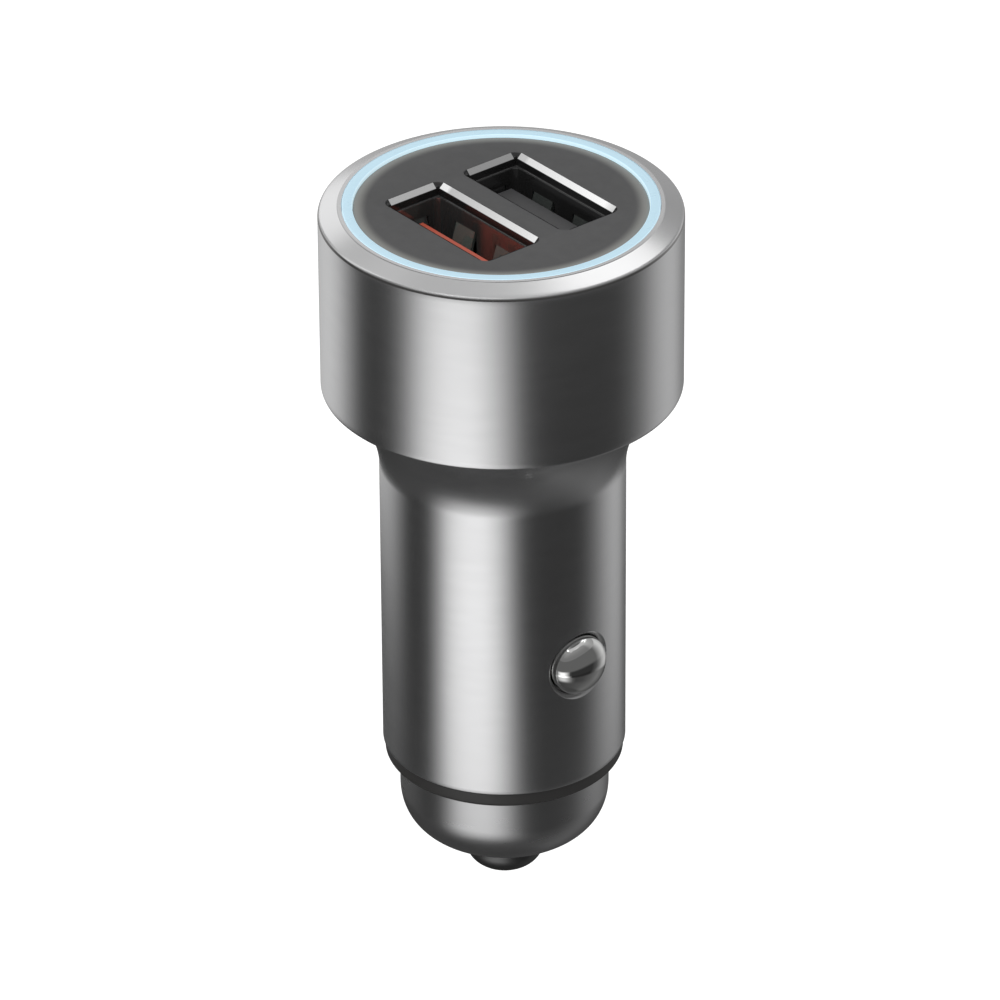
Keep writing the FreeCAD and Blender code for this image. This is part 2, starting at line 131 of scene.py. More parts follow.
# Side contacts
CONTACT_R = 2.6
CONTACT_HOLE_R = 2.7
CONTACT_SINK_R = 3.08
CONTACT_SINK_DEPTH = 0.4
CONTACT_DOME_X = 10.12
CONTACT_END_X = 11.57
CONTACT_FLANGE_R = 3.2
CONTACT_FLANGE_X = 8.25
CONTACT_BACK_X = 7.65
CONTACT_TRAVEL = 1.2

# Springs: their seats and lengths, and each one's radius, wire and turns
SIDE_SPRING_SEAT_X = 3.65
SIDE_SPRING_LENGTH = CONTACT_BACK_X - SIDE_SPRING_SEAT_X
SIDE_SPRING = (2.9, 0.35, 3)
TIP_TRAVEL = 2.0
TIP_SPRING_SEAT_Z = -26.3
TIP_SPRING_LENGTH = TIP_SPRING_SEAT_Z - TIP_FLANGE_Z
TIP_SPRING = (4.0, 0.5, 4)

# Ports
PORT_Y = 4.11
LIP_TIP_WIDTH = 13.38
LIP_TIP_HEIGHT = 6.0
LIP_END_Z = 23.58
LIP_ROOT_Z = 23.38
SHELL_WIDTH = 12.9
SHELL_HEIGHT = 5.52
CUTOUT_MARGIN = 0.04
CUTOUT_CORNER = 0.85
CUTOUT_ROOT_CORNER = 0.05
CUTOUT_ROUND = 0.06
# Half the length along which the lips' painted reflections change
LIP_RAMP_X = 7.0
# Where the painted reflection on the port wall begins
PAINTED_REFLECTION_X = (-1.2, 0.2)
# Height of the shell's ledge, with painted shade above it and a painted highlight along it
LEDGE_LINE_Z = 22.70
LEAF_X = (1.4, 3.8)
LEAF_TOP_Z = 21.3

# Steps round a turned piece, and the angle from which an edge shows sharp
SEGMENTS = 256
SHARP = radians(30)

# Points nearer than this many metres are merged, and a smaller radius in millimetres is a point
SAME_POINT = 1e-7
ON_AXIS = 1e-9

# A conic's weight for a quarter of an ellipse
ROUND = sqrt(0.5)

camera_side = Vector((sin(VIEW_AZIMUTH), -cos(VIEW_AZIMUTH), 0))
camera_right = Vector((cos(VIEW_AZIMUTH), sin(VIEW_AZIMUTH), 0))


# Outlines

def conic(start, corner, end, weight, spans):
    """Points of a conic from start to end that heads for the corner at both."""
    points = []
    for step in range(spans + 1):
        t = step / spans
        a, b, c = (1 - t) ** 2, 2 * t * (1 - t) * weight, t ** 2
        total = a + b + c
        points.append(tuple((a * p + b * q + c * r) / total for p, q, r in zip(start, corner, end)))
    return points


def softened(points, radius, corners, spans=5):
    """The closed outline with small rounds of that radius at the listed corners."""
    result = []
    for index, point in enumerate(points):
        if index not in corners:
            result.append(point)
            continue
        here = Vector(point)
        before = (Vector(points[index - 1]) - here).normalized() * radius
        after = (Vector(points[(index + 1) % len(points)]) - here).normalized() * radius
        result += conic(tuple(here + before), point, tuple(here + after), ROUND, spans)
    return result


# Meshes

def new_piece(name, mesh_maker, body, *replaced):
    """A smoothly shaded piece that rides on a body and stands for the CAD nodes it replaces."""
    mesh = bpy.data.meshes.new(name)
    shape = bmesh.new()
    mesh_maker(shape)
    bmesh.ops.remove_doubles(shape, verts=shape.verts, dist=SAME_POINT)
    bmesh.ops.recalc_face_normals(shape, faces=shape.faces)
    for face in shape.faces:
        face.smooth = True
    shape.to_mesh(mesh)
    shape.free()
    mesh.set_sharp_from_angle(angle=SHARP)
    piece = bpy.data.objects.new(name, mesh)
    bpy.context.scene.collection.objects.link(piece)
    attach(piece, body)
    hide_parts(*replaced)
    return piece


def ring_of(shape, radius, z, turn):
    """One ring of vertices about Z, or a single one on the axis, placed by turn."""
    if radius < ON_AXIS:
        return [shape.verts.new(turn(Vector((0, 0, z))) * MM)] * SEGMENTS
    ring = []
    for index in range(SEGMENTS):
        angle = 2 * pi * index / SEGMENTS
        ring.append(shape.verts.new(turn(Vector((radius * cos(angle), radius * sin(angle), z))) * MM))
    return ring


def stay(point):
    return point


def lathe(shape, outline, closed=True, turn=stay):
    """Turns an outline of radii and heights about Z; turn then places each point."""
    rings = [ring_of(shape, radius, z, turn) for radius, z in outline]
    pairs = list(zip(rings, rings[1:]))
    if closed:
        pairs.append((rings[-1], rings[0]))
    for low, high in pairs:
        join_rings(shape, low, high)


def join_rings(shape, low, high):
    """Faces between two rings of as many points, triangles where one of them is a single point."""
    count = len(low)
    for index in range(count):
        after = (index + 1) % count
        corners = []
        for vertex in (low[index], low[after], high[after], high[index]):
            if vertex not in corners:
                corners.append(vertex)
        if len(corners) > 2:
            shape.faces.new(corners)


# Housing

# The wall round each side contact's hole: the size of its square cells, how many it reaches each way
# from the contact's axis, and how many rows of faces run from there in to the hole
CELL = 2 * pi * BARREL_R / SEGMENTS
PATCH = 16
HOLE_ROWS = 8

# The countersink and the hole's edge, as radii and depths
HOLE_EDGE = [
    (CONTACT_SINK_R - 0.03, 0.02),
    (CONTACT_HOLE_R + 0.06, CONTACT_SINK_DEPTH - 0.06),
    (CONTACT_HOLE_R + 0.01, CONTACT_SINK_DEPTH + 0.02),
    (CONTACT_HOLE_R, CONTACT_SINK_DEPTH + 0.1)]


def on_barrel(along, height, depth, side):
    """A point by its distance round the barrel from the side contact's axis, and its height."""
    angle = along / BARREL_R
    return Vector((side * (BARREL_R * cos(angle) - depth), BARREL_R * sin(angle), CONTACT_Z + height))


def hole_ring(shape, directions, radius, depth, side):
    """A ring round a side contact, on the barrel's wall or sunk in it by depth."""
    ring = []
    for direction in directions:
        y = radius * cos(direction)
        ring.append(shape.verts.new(on_barrel(BARREL_R * asin(y / BARREL_R), radius * sin(direction),
                                              depth, side) * MM))
    return ring


def contact_hole(shape, side):
    """The barrel's wall round one side contact: from a square patch in to its countersunk hole."""
    border = [(-PATCH + i, -PATCH) for i in range(2 * PATCH)]
    border += [(PATCH, -PATCH + i) for i in range(2 * PATCH)]
    border += [(PATCH - i, PATCH) for i in range(2 * PATCH)]
    border += [(-PATCH, PATCH - i) for i in range(2 * PATCH)]
    directions = [atan2(j, i) for i, j in border]
    rows = []
    for row in range(HOLE_ROWS + 1):
        share = row / HOLE_ROWS
        ring = []
        for (i, j), direction in zip(border, directions):
            hole_along = BARREL_R * asin(CONTACT_SINK_R * cos(direction) / BARREL_R)
            hole_height = CONTACT_SINK_R * sin(direction)
            ring.append(shape.verts.new(on_barrel(
                i * CELL * (1 - share) + hole_along * share,
                j * CELL * (1 - share) + hole_height * share, 0, side) * MM))
        rows.append(ring)
    rows += [hole_ring(shape, directions, radius, depth, side) for radius, depth in HOLE_EDGE]
    bore = []
    for direction in directions:
        y = CONTACT_HOLE_R * cos(direction)
        bore.append(shape.verts.new(Vector((side * sqrt(BARREL_BORE_R ** 2 - y ** 2), y,
                                            CONTACT_Z + CONTACT_HOLE_R * sin(direction))) * MM))
    rows.append(bore)
    for low, high in zip(rows, rows[1:]):
        join_rings(shape, low, high)


def housing_mesh(shape):
    """The turned body, with a patch of its own round each side contact's hole."""
    patch_low = CONTACT_Z - PATCH * CELL
    patch_high = CONTACT_Z + PATCH * CELL
    profile = [
        (BARREL_BORE_R, BARREL_END_Z),
        (BARREL_R, BARREL_END_Z),
        (BARREL_R, BARREL_END_Z + BARREL_SUPPORT),
        (BARREL_R, patch_low)]
    lower = softened(profile, BARREL_ROUND, (1,))
    flare = conic((BARREL_R, 0), (BARREL_R, FLARE_Z), (HEAD_R - HEAD_ROUND, FLARE_Z),
                  FLARE_WEIGHT, spans=32)
    edge = conic((HEAD_R - HEAD_ROUND, FLARE_Z), (HEAD_R, FLARE_Z), (HEAD_R, FLARE_Z + HEAD_ROUND),
                 ROUND, spans=6)
    upper = [
        (HEAD_R, FLARE_Z + HEAD_ROUND),
        (HEAD_R, FLARE_Z + HEAD_SUPPORT),
        (HEAD_R, RIM_Z - HEAD_SUPPORT),
        (HEAD_R, RIM_Z),
        (HEAD_R - CHAMFER_CREST[0], RIM_Z + CHAMFER_CREST[1]),
        (LIP_R, TOP_Z - LIP_BEVEL[1]),
        (LIP_R - LIP_BEVEL[0], TOP_Z),
        (HEAD_BORE_R, TOP_Z),
        (HEAD_BORE_R, LEDGE_Z),
        (BARREL_BORE_R, LEDGE_Z)]
    upper = softened(upper, RIM_ROUND, (3,), spans=8)
    lathe(shape, lower, closed=False)
    over_patch = [(BARREL_R, patch_high), (BARREL_R, patch_high + PATCH_SUPPORT), (BARREL_R, 0)]
    lathe(shape, over_patch, closed=False)
    lathe(shape, flare, closed=False)
    lathe(shape, edge, closed=False)
    lathe(shape, upper + [(BARREL_BORE_R, BARREL_END_Z)], closed=False)
    rings = [ring_of(shape, BARREL_R, CONTACT_Z + row * CELL, stay) for row in range(-PATCH, PATCH + 1)]
    for low, high in zip(rings, rings[1:]):
        for index in range(SEGMENTS):
            after = (index + 1) % SEGMENTS
            from_right = min(index, SEGMENTS - 1 - index)
            from_left = abs(index + 0.5 - SEGMENTS / 2) - 0.5
            if from_right >= PATCH and from_left >= PATCH:
                shape.faces.new((low[index], low[after], high[after], high[index]))
    contact_hole(shape, 1)
    contact_hole(shape, -1)


# Other turned pieces

def light_ring_mesh(shape):
    outline = [(LIGHT_RING_BORE_R, BOARD_Z), (LIGHT_RING_R, BOARD_Z),
               (LIGHT_RING_R, TOP_Z), (LIGHT_RING_BORE_R, TOP_Z)]
    lathe(shape, softened(outline, LIGHT_RING_ROUND, (2, 3)))


def insulating_ring_mesh(shape):
    outline = [(0, RING_WEB_Z), (RING_TAIL_BORE_R, RING_WEB_Z), (RING_TAIL_BORE_R, RING_TAIL_Z),
               (RING_TAIL_R, RING_TAIL_Z), (RING_TAIL_R, RING_END_Z), (RING_R, RING_END_Z),
               (RING_R, BARREL_END_Z), (RING_SPIGOT_R, BARREL_END_Z), (RING_SPIGOT_R, SPIGOT_Z),
               (0, SPIGOT_Z)]
    lathe(shape, softened(outline, RING_ROUND, (5,)), closed=False)


def nose_cap_mesh(shape):
    shoulder = conic((NOSE_BORE_R, NOSE_END_Z), (NOSE_R, NOSE_END_Z), (NOSE_R, NOSE_SHOULDER_Z),
                     NOSE_WEIGHT, spans=40)
    inside = [(NOSE_R, NOSE_TOP_Z - NOSE_SUPPORT), (NOSE_R, NOSE_TOP_Z), (THREAD_R, NOSE_TOP_Z),
              (THREAD_R, NOSE_SEAT_Z), (NOSE_CHAMBER_R, NOSE_SEAT_Z), (NOSE_CHAMBER_R, NOSE_FLOOR_Z),
              (NOSE_BORE_R, NOSE_FLOOR_Z)]
    outline = shoulder + inside
    lathe(shape, softened(outline, NOSE_ROUND, (len(shoulder) + 1,)))


def tip_pin_mesh(shape):
    end = conic((0, TIP_END_Z), (TIP_R, TIP_END_Z), (TIP_R, TIP_SIDE_Z), ROUND, spans=24)
    inside = [(TIP_R, NOSE_FLOOR_Z), (TIP_FLANGE_R, NOSE_FLOOR_Z), (TIP_FLANGE_R, TIP_FLANGE_Z),
              (0, TIP_FLANGE_Z)]
    lathe(shape, end + inside, closed=False)


def contact_mesh(side):
    """A domed plunger turned about X; its outline's heights are distances along X."""
    def lay(point):
        return Vector((side * point.z, point.x, CONTACT_Z + point.y))

    def make(shape):
        inside = [(0, CONTACT_BACK_X), (CONTACT_FLANGE_R, CONTACT_BACK_X),
                  (CONTACT_FLANGE_R, CONTACT_FLANGE_X), (CONTACT_R, CONTACT_FLANGE_X)]
        dome = conic((CONTACT_R, CONTACT_DOME_X), (CONTACT_R - DOME_CORNER, CONTACT_END_X),
                     (0, CONTACT_END_X), DOME_WEIGHT, spans=24)
        lathe(shape, inside + dome, closed=False, turn=lay)
    return make


# Springs

def spring_mesh(radius, wire, turns, length, lay, sides=10, turn_steps=40):
    """A wire wound about Z from its seat at 0 to length, its points placed by lay."""
    def make(shape):
        steps = round(turns * turn_steps)
        rings = []
        for step in range(steps + 1):
            angle = 2 * pi * turns * step / steps
            ring = []
            for side in range(sides):
                around = 2 * pi * side / sides
                out = radius + wire / 2 * cos(around)
                height = wire / 2 + (length - wire) * step / steps + wire / 2 * sin(around)
                point = Vector((out * cos(angle), out * sin(angle), height))
                ring.append(shape.verts.new(lay(point) * MM))
            rings.append(ring)
        for low, high in zip(rings, rings[1:]):
            join_rings(shape, low, high)
        shape.faces.new(rings[0])
        shape.faces.new(rings[-1])
    return make


def side_spring_mesh(side):
    def lay(point):
        return Vector((side * (SIDE_SPRING_SEAT_X + point.z), point.y, CONTACT_Z - point.x))
    return spring_mesh(*SIDE_SPRING, SIDE_SPRING_LENGTH, lay)


def tip_spring_mesh(shape):
    def lay(point):
        return point + Vector((0, 0, TIP_FLANGE_Z))
    spring_mesh(*TIP_SPRING, TIP_SPRING_LENGTH, lay)(shape)


# Face plate

def window(y, width, height, radius, spans=8):
    """A rectangle with rounded corners round a port, as points round it."""
    half_x = width / 2 + CUTOUT_MARGIN
    half_y = height / 2 + CUTOUT_MARGIN
    points = []
    for sx, sy, start in ((1, 1, 0), (-1, 1, 90), (-1, -1, 180), (1, -1, 270)):
        for step in range(spans + 1):
            angle = radians(start + 90 * step / spans)
            points.append(Vector((sx * (half_x - radius) + radius * cos(angle),
                                  y + sy * (half_y - radius) + radius * sin(angle), 0)))
    return points


def flat_ring(shape, points, z):
    return [shape.verts.new(Vector((point.x, point.y, z)) * MM) for point in points]


def face_plate_mesh(shape):
    """The face with its rounded rim and skirt, and a window for each port that narrows below its lips."""
    edge = conic((FACE_R, FACE_Z - FACE_RIM_DROP), (FACE_R, FACE_Z), (FACE_R - FACE_RIM, FACE_Z),
                 ROUND, spans=12)
    skirt = [(FACE_SKIRT_R, FACE_UNDER_Z), (FACE_SKIRT_R, FACE_SKIRT_Z), (FACE_R, FACE_SKIRT_Z)]
    lathe(shape, skirt + edge, closed=False)
    loops = []
    for y in (-PORT_Y, PORT_Y):
        rings = [flat_ring(shape, window(y, SHELL_WIDTH, SHELL_HEIGHT, CUTOUT_ROOT_CORNER), z)
                 for z in (FACE_UNDER_Z, LIP_ROOT_Z)]
        lip_window = window(y, LIP_TIP_WIDTH, LIP_TIP_HEIGHT, CUTOUT_CORNER)
        rings.append(flat_ring(shape, lip_window, LIP_END_Z))
        for turn in (0, 30, 60, 90):
            grow = CUTOUT_ROUND * (1 - cos(radians(turn)))
            drop = CUTOUT_ROUND * (1 - sin(radians(turn)))
            mouth = window(y, LIP_TIP_WIDTH + 2 * grow, LIP_TIP_HEIGHT + 2 * grow, CUTOUT_CORNER + grow)
            rings.append(flat_ring(shape, mouth, FACE_Z - drop))
        for low, high in zip(rings, rings[1:]):
            join_rings(shape, low, high)
        loops.append(rings)
    for z, radius, place in ((FACE_Z, FACE_R - FACE_RIM, -1), (FACE_UNDER_Z, FACE_SKIRT_R, 0)):
        edges = []
        border = ring_of(shape, radius, z, stay)
        for ring in (border, loops[0][place], loops[1][place]):
            for index, vertex in enumerate(ring):
                after = ring[(index + 1) % len(ring)]
                if vertex is not after:
                    edges.append(shape.edges.get((vertex, after)) or shape.edges.new((vertex, after)))
        bmesh.ops.triangle_fill(shape, edges=edges, use_beauty=True)


# Nodes

def object_place(tree):
    return tree.nodes.new("ShaderNodeTexCoord").outputs["Object"]


def coordinate_of(tree, place, axis):
    parts = tree.nodes.new("ShaderNodeSeparateXYZ")
    tree.links.new(place, parts.inputs[0])
    return parts.outputs[axis]


def smooth_step(tree, value, low, high, to_low=0.0, to_high=1.0):
    """How far value has come from low to high."""
    step = tree.nodes.new("ShaderNodeMapRange")
    step.interpolation_type = "SMOOTHSTEP"
    step.inputs["From Min"].default_value = low
    step.inputs["From Max"].default_value = high
    step.inputs["To Min"].default_value = to_low
    step.inputs["To Max"].default_value = to_high
    tree.links.new(value, step.inputs["Value"])
    return step.outputs["Result"]


def mixed(tree, share, low, high):
    """A mix of two colours, each a grey level, a colour or another node's output."""
    mix = tree.nodes.new("ShaderNodeMix")
    mix.data_type = "RGBA"
    tree.links.new(share, mix.inputs["Factor"])
    for colour, place in ((low, "A"), (high, "B")):
        if isinstance(colour, float):
            colour = (colour, colour, colour)
        if isinstance(colour, tuple):
            mix.inputs[place].default_value = (*colour, 1)
        else:
            tree.links.new(colour, mix.inputs[place])
    return mix.outputs["Result"]


def calculated(tree, operation, *values):
    result = tree.nodes.new("ShaderNodeMath")
    result.operation = operation
    for value, place in zip(values, result.inputs):
        if isinstance(value, float):
            place.default_value = value
        else:
            tree.links.new(value, place)
    return result.outputs[0]


def length_of(tree, vector):
    length = tree.nodes.new("ShaderNodeVectorMath")
    length.operation = "LENGTH"
    tree.links.new(vector, length.inputs[0])
    return length.outputs["Value"]


def grey_ramp(tree, place, stops):
    """Greys by their place, the first at 0 and the last at 1."""
    ramp = tree.nodes.new("ShaderNodeValToRGB")
    elements = ramp.color_ramp.elements
    for stop, value in stops[1:-1]:
        elements.new(stop).color = (value, value, value, 1)
    for end in (0, -1):
        value = stops[end][1]
        elements[end].color = (value, value, value, 1)
    tree.links.new(place, ramp.inputs["Fac"])
    return ramp.outputs["Color"]


# Materials

class Paint:
    """A node material with a Principled shader and a few short ways to add to it."""

    def __init__(self, name, colour, roughness, metallic=0.0):
        self.material = bpy.data.materials.new(name)
        self.material.use_nodes = True
        self.tree = self.material.node_tree
        self.shader = self.tree.nodes["Principled BSDF"]
        self.shader.inputs["Base Color"].default_value = (*colour, 1)
        self.shader.inputs["Roughness"].default_value = roughness
        self.shader.inputs["Metallic"].default_value = metallic
        self.place = object_place(self.tree)

    def noise(self, scale, stretch=(1, 1, 1), detail=3.0):
        """Noise that varies scale times a metre, and stretch times that along each axis."""
        mapping = self.tree.nodes.new("ShaderNodeMapping")
        mapping.inputs["Scale"].default_value = stretch
        self.tree.links.new(self.place, mapping.inputs["Vector"])
        noise = self.tree.nodes.new("ShaderNodeTexNoise")
        noise.inputs["Scale"].default_value = scale
        noise.inputs["Detail"].default_value = detail
        self.tree.links.new(mapping.outputs["Vector"], noise.inputs["Vector"])
        return noise.outputs["Fac"]

    def spread(self, value, low, high):
        """Noise, which mostly lies between 0.3 and 0.7, brought to between low and high."""
        spread = self.tree.nodes.new("ShaderNodeMapRange")
        spread.inputs["From Min"].default_value = 0.3
        spread.inputs["From Max"].default_value = 0.7
        spread.inputs["To Min"].default_value = low
        spread.inputs["To Max"].default_value = high
        self.tree.links.new(value, spread.inputs["Value"])
        return spread.outputs["Result"]

    def vary_roughness(self, value, low, high):
        self.tree.links.new(self.spread(value, low, high), self.shader.inputs["Roughness"])

    def vary_colour(self, value, low, high):
        self.colour(self.mix(self.spread(value, 0, 1), low, high))

    def share(self, value, low, high, to_low=0.0, to_high=1.0):
        """How far a length in metres has come from low to high, given in millimetres."""
        return smooth_step(self.tree, value, low * MM, high * MM, to_low, to_high)

    def coordinate(self, axis):
        return coordinate_of(self.tree, self.place, axis)

    def distance_from_axis(self):
        flat = self.tree.nodes.new("ShaderNodeVectorMath")
        flat.operation = "MULTIPLY"
        flat.inputs[1].default_value = (1, 1, 0)
        self.tree.links.new(self.place, flat.inputs[0])
        return length_of(self.tree, flat.outputs["Vector"])

    def times(self, one, other):
        return calculated(self.tree, "MULTIPLY", one, other)

    def mix(self, share, low, high):
        return mixed(self.tree, share, low, high)

    def colour(self, value):
        self.tree.links.new(value, self.shader.inputs["Base Color"])

    def bump(self, value, height, strength=1.0):
        """Raises the surface by value; a second bump is added to the first."""
        bump = self.tree.nodes.new("ShaderNodeBump")
        bump.inputs["Strength"].default_value = strength
        bump.inputs["Distance"].default_value = height * MM
        self.tree.links.new(value, bump.inputs["Height"])
        for link in list(self.shader.inputs["Normal"].links):
            self.tree.links.new(link.from_socket, bump.inputs["Normal"])
        self.tree.links.new(bump.outputs["Normal"], self.shader.inputs["Normal"])


def satin_metal(name, colour, roughness, grain=0.0):
    """Turned metal; grain is the height of the fine blasted texture on it."""
    paint = Paint(name, colour, roughness, 1.0)
    paint.vary_roughness(paint.noise(250, (1, 1, 6)), roughness - 0.008, roughness + 0.01)
    paint.bump(paint.noise(400, (1, 1, 22), 2.0), 0.0006, 0.35)
    if grain:
        paint.bump(paint.noise(4500, detail=2.0), grain, 0.5)
    return paint


def housing_metal():
    """Satin aluminium with painted shade: a darker line under the chamfer at the top of the head."""
    base = (0.78, 0.78, 0.785)
    paint = satin_metal("satin_aluminium", base, 0.25, 0.0008)
    height = paint.coordinate("Z")
    # Painted shade: a dark line round the head just under the chamfer.
    line = paint.times(paint.share(height, RIM_Z - 0.30, RIM_Z - 0.20),
                       paint.share(height, RIM_Z - 0.02, RIM_Z - 0.10))
    line = paint.times(line, paint.share(paint.distance_from_axis(), HEAD_R - 0.4, HEAD_R - 0.3))
    paint.colour(paint.mix(line, base, (0.34, 0.335, 0.33)))
    return paint


def moulded(name, colour, roughness, grain=0.002):
    """Moulded plastic, with slight changes of colour and gloss and a fine grain."""
    paint = Paint(name, colour, roughness)
    paint.vary_roughness(paint.noise(900), roughness - 0.03, roughness + 0.05)
    paint.vary_colour(paint.noise(120), tuple(0.96 * part for part in colour),
                      tuple(1.03 * part for part in colour))
    paint.bump(paint.noise(9000, detail=1.0), grain, 0.4)
    return paint


def face_plastic():
    """Dark grey, with painted light from the glowing ring: lighter where its edge rounds off beside the
    ring.
    """
    grey = (0.068, 0.068, 0.069)
    paint = moulded("face_plastic", grey, 0.5)
    # Painted light: the rim grows lighter towards the glowing ring.
    paint.colour(paint.mix(paint.share(paint.distance_from_axis(), FACE_R - 1.2, FACE_R - 0.2), grey,
                           (0.25, 0.25, 0.235)))
    return paint


def sheet_metal(name, colour, roughness, axis=2):
    """Rolled sheet or drawn wire, with fine lines along the axis."""
    paint = Paint(name, colour, roughness, 1.0)
    stretch = [14, 14, 14]
    stretch[axis] = 1
    rolled = paint.noise(500, stretch, 2.0)
    paint.vary_roughness(rolled, roughness - 0.03, roughness + 0.04)
    paint.bump(rolled, 0.0004, 0.3)
    return paint


def port_steel(name, short_lip, long_lip, wall, painted_reflection, leaf):
    """
    Plated lips and dull plating down in the shell, with painted light: painted reflections on the lips,
    painted shade above the shell's ledge and a painted highlight along it. short_lip is the short lips'
    painted brightness, long_lip the far lip's painted brightness at its two ends, painted_reflection the
    painted reflected colour on the wall at the right, and leaf the leaves'.
    """
    paint = Paint(name, (0.80, 0.80, 0.79), 0.16, 1.0)
    along, height = paint.coordinate("X"), paint.coordinate("Z")
    # Painted reflections: the lips' grey changes along their length, the short lips' apart from the long
    # ones'.
    lips = grey_ramp(paint.tree, paint.share(along, -LIP_RAMP_X, LIP_RAMP_X), [
        (0.0, short_lip), (0.04, short_lip), (0.06, long_lip[0]), (0.94, long_lip[1]),
        (1.0, short_lip)])
    # A painted reflection: the wall below the ledge at the right takes the painted reflected colour.
    reflection_mask = paint.times(paint.share(along, *PAINTED_REFLECTION_X),
                          paint.share(height, LEDGE_LINE_Z, LEDGE_LINE_Z - 0.1))
    inside = paint.mix(reflection_mask, wall, painted_reflection)
    # Painted shade: darker above the ledge.
    inside = paint.mix(paint.share(height, LEDGE_LINE_Z - 0.05, LEDGE_LINE_Z + 0.05), inside, 0.05)
    # A painted highlight: a lighter band along the ledge.
    painted_ledge_highlight = paint.times(paint.share(height, LEDGE_LINE_Z - 0.13, LEDGE_LINE_Z - 0.07),
                       paint.share(height, LEDGE_LINE_Z + 0.07, LEDGE_LINE_Z + 0.01))
    inside = paint.mix(painted_ledge_highlight, inside, 0.24)
    from_middle = calculated(paint.tree, "ABSOLUTE", along)
    on_leaf = paint.times(paint.share(from_middle, LEAF_X[0] - 0.05, LEAF_X[0] + 0.02),
                          paint.share(from_middle, LEAF_X[1] + 0.05, LEAF_X[1] - 0.02))
    on_leaf = paint.times(on_leaf, paint.share(height, LEAF_TOP_Z + 0.05, LEAF_TOP_Z - 0.02))
    inside = paint.mix(on_leaf, inside, leaf)
    paint.colour(paint.mix(paint.share(height, LIP_ROOT_Z, LIP_ROOT_Z + 0.04), inside, lips))
    plated = paint.share(height, LIP_ROOT_Z, LIP_ROOT_Z + 0.04, 0.75, 1.0)
    paint.tree.links.new(plated, paint.shader.inputs["Metallic"])
    paint.vary_roughness(paint.noise(500, (14, 14, 1), 2.0), 0.11, 0.17)
    return paint


def light_guide():
    """Frosted pale blue, glowing at its top face and more so at its inner wall and outer edge."""
    paint = Paint("light_guide", (0.50, 0.74, 0.88), 0.3)
    lit = paint.share(paint.coordinate("Z"), TOP_Z - 0.9, TOP_Z - 0.6)
    inner = paint.share(paint.distance_from_axis(), LIGHT_RING_BORE_R + 0.01,
                        LIGHT_RING_BORE_R + 0.06, 0.48, 0.15)
    outer = paint.share(paint.distance_from_axis(), LIGHT_RING_R - 0.08, LIGHT_RING_R - 0.03, 1.0, 2.4)
    strength = paint.times(lit, paint.times(inner, outer))
    paint.tree.links.new(strength, paint.shader.inputs["Emission Strength"])
    paint.shader.inputs["Emission Color"].default_value = (0.8, 0.95, 1.0, 1)
    paint.vary_roughness(paint.noise(600), 0.25, 0.35)
    return paint


paints = {
    "satin_aluminium": housing_metal(),
    "face_plastic": face_plastic(),
    "light_guide": light_guide(),
    "port_steel": port_steel("port_steel", short_lip=0.88, long_lip=(0.56, 0.78),
                             wall=(0.14, 0.14, 0.138), painted_reflection=(0.44, 0.21, 0.18),
                             leaf=(0.36, 0.42, 0.39)),
    "orange_plastic": moulded("orange_plastic", (0.60, 0.11, 0.062), 0.42),
    "grey_plastic": moulded("grey_plastic", (0.075, 0.075, 0.077), 0.45),
    "strip_brass": sheet_metal("strip_brass", (0.86, 0.62, 0.28), 0.22),
    "board_laminate": moulded("board_laminate", (0.02, 0.16, 0.07), 0.35),
    "led_resin": moulded("led_resin", (0.85, 0.85, 0.70), 0.3),
    "ferrite": moulded("ferrite", (0.05, 0.05, 0.055), 0.6),
    "copper_winding": sheet_metal("copper_winding", (0.80, 0.36, 0.18), 0.3, 0),
    "can_aluminium": sheet_metal("can_aluminium", (0.80, 0.81, 0.83), 0.25, 0),
    "chip_resin": moulded("chip_resin", (0.025, 0.025, 0.026), 0.5),
    "carrier_nylon": moulded("carrier_nylon", (0.65, 0.64, 0.60), 0.5),
    "ring_nylon": moulded("ring_nylon", (0.035, 0.034, 0.033), 0.42),
    "contact_chrome": satin_metal("contact_chrome", (0.90, 0.90, 0.89), 0.05),
    "tip_nickel": satin_metal("tip_nickel", (0.21, 0.21, 0.21), 0.40),
    "spring_steel": sheet_metal("spring_steel", (0.60, 0.60, 0.60), 0.3),
}


def dress(piece, slot):
    """Gives a piece the material of a slot."""
    piece.data.materials.clear()
    piece.data.materials.append(paints[slot].material)


slot_of = {row["node"]: row["material_slot"] for row in frame["record"]["subparts"]}
for name, node in nodes.items():
    for place in node.material_slots:
        place.material = paints[slot_of[name]].material
# The grey port's shell gets its own copy of the port steel with other greys: painted light, brighter lips
# and a darker inside than the orange port's.
for place in nodes["grey_port_shell"].material_slots:
    place.material = port_steel("port_steel_bright", short_lip=0.58, long_lip=(0.80, 1.0),
                                wall=(0.08, 0.08, 0.08), painted_reflection=(0.07, 0.07, 0.07),
                                leaf=(0.20, 0.22, 0.21)).material

smooth_pieces = [
    ("housing_turned", housing_mesh, "charger", "metal_housing"),
    ("face_moulded", face_plate_mesh, "charger", "face_plate"),
    ("light_ring_smooth", light_ring_mesh, "charger", "light_ring"),
    ("insulating_ring_smooth", insulating_ring_mesh, "charger", "insulating_ring"),
    ("nose_turned", nose_cap_mesh, "charger", "nose_cap"),
    ("tip_turned", tip_pin_mesh, "tip", "tip_pin"),
    ("right_contact_domed", contact_mesh(1), "right_contact", "right_side_contact"),
    ("left_contact_domed", contact_mesh(-1), "left_contact", "left_side_contact"),
]
for name, maker, body, node in smooth_pieces:
    dress(new_piece(name, maker, body, node), slot_of[node])

